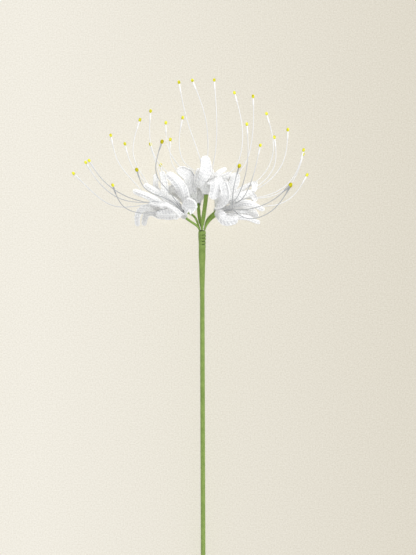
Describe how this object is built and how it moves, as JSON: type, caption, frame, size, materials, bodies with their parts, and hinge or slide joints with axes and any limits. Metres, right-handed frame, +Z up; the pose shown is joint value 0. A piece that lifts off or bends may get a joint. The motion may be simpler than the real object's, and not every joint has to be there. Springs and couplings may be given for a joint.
{
  "type": "crocheted spider lily flower",
  "caption": "Crocheted spider lily, a cut stem lying on a surface: white recurved petals, long yellow-tipped stamens and a green thread-wound stem.",
  "frame": {"origin": "middle of the underside of the flower's box, on the surface that it lies on", "axes": "+Y runs up the stem towards the florets, +Z is up from the surface, +X is to the right seen from above with the florets at the top"},
  "size_m": [0.189, 0.4188, 0.109],
  "materials": {
    "petal_cotton": "matt white crocheted cotton thread",
    "stamen_thread": "matt white thread wound on fine wire, with yellow bead-like tips",
    "green_thread": "matt green cotton thread wound round wire",
    "wire": "plain drawn steel wire"
  },
  "bodies": {
    "root": {"floret_1_petal_1": "petal_cotton", "floret_1_petal_2": "petal_cotton", "floret_1_petal_3": "petal_cotton", "floret_1_petal_4": "petal_cotton", "floret_1_petal_5": "petal_cotton", "floret_1_petal_6": "petal_cotton", "floret_2_petal_1": "petal_cotton", "floret_2_petal_2": "petal_cotton", "floret_2_petal_3": "petal_cotton", "floret_2_petal_4": "petal_cotton", "floret_2_petal_5": "petal_cotton", "floret_2_petal_6": "petal_cotton", "floret_3_petal_1": "petal_cotton", "floret_3_petal_2": "petal_cotton", "floret_3_petal_3": "petal_cotton", "floret_3_petal_4": "petal_cotton", "floret_3_petal_5": "petal_cotton", "floret_3_petal_6": "petal_cotton", "floret_4_petal_1": "petal_cotton", "floret_4_petal_2": "petal_cotton", "floret_4_petal_3": "petal_cotton", "floret_4_petal_4": "petal_cotton", "floret_4_petal_5": "petal_cotton", "floret_4_petal_6": "petal_cotton", "floret_5_petal_1": "petal_cotton", "floret_5_petal_2": "petal_cotton", "floret_5_petal_3": "petal_cotton", "floret_5_petal_4": "petal_cotton", "floret_5_petal_5": "petal_cotton", "floret_5_petal_6": "petal_cotton", "floret_6_petal_1": "petal_cotton", "floret_6_petal_2": "petal_cotton", "floret_6_petal_3": "petal_cotton", "floret_6_petal_4": "petal_cotton", "floret_6_petal_5": "petal_cotton", "floret_6_petal_6": "petal_cotton", "floret_1_stamens_1": "stamen_thread", "floret_1_stamens_2": "stamen_thread", "floret_1_stamens_3": "stamen_thread", "floret_2_stamens_1": "stamen_thread", "floret_2_stamens_2": "stamen_thread", "floret_3_stamens_1": "stamen_thread", "floret_3_stamens_2": "stamen_thread", "floret_4_stamens_1": "stamen_thread", "floret_4_stamens_2": "stamen_thread", "floret_4_stamens_3": "stamen_thread", "floret_5_stamens_1": "stamen_thread", "floret_5_stamens_2": "stamen_thread", "floret_5_stamens_3": "stamen_thread", "floret_6_stamens_1": "stamen_thread", "floret_6_stamens_2": "stamen_thread", "floret_6_stamens_3": "stamen_thread", "pedicel_1": "green_thread", "pedicel_2": "green_thread", "pedicel_3": "green_thread", "pedicel_4": "green_thread", "pedicel_5": "green_thread", "pedicel_6": "green_thread", "stem_wrap": "green_thread", "stem_wire": "wire"}
  },
  "joints": []
}
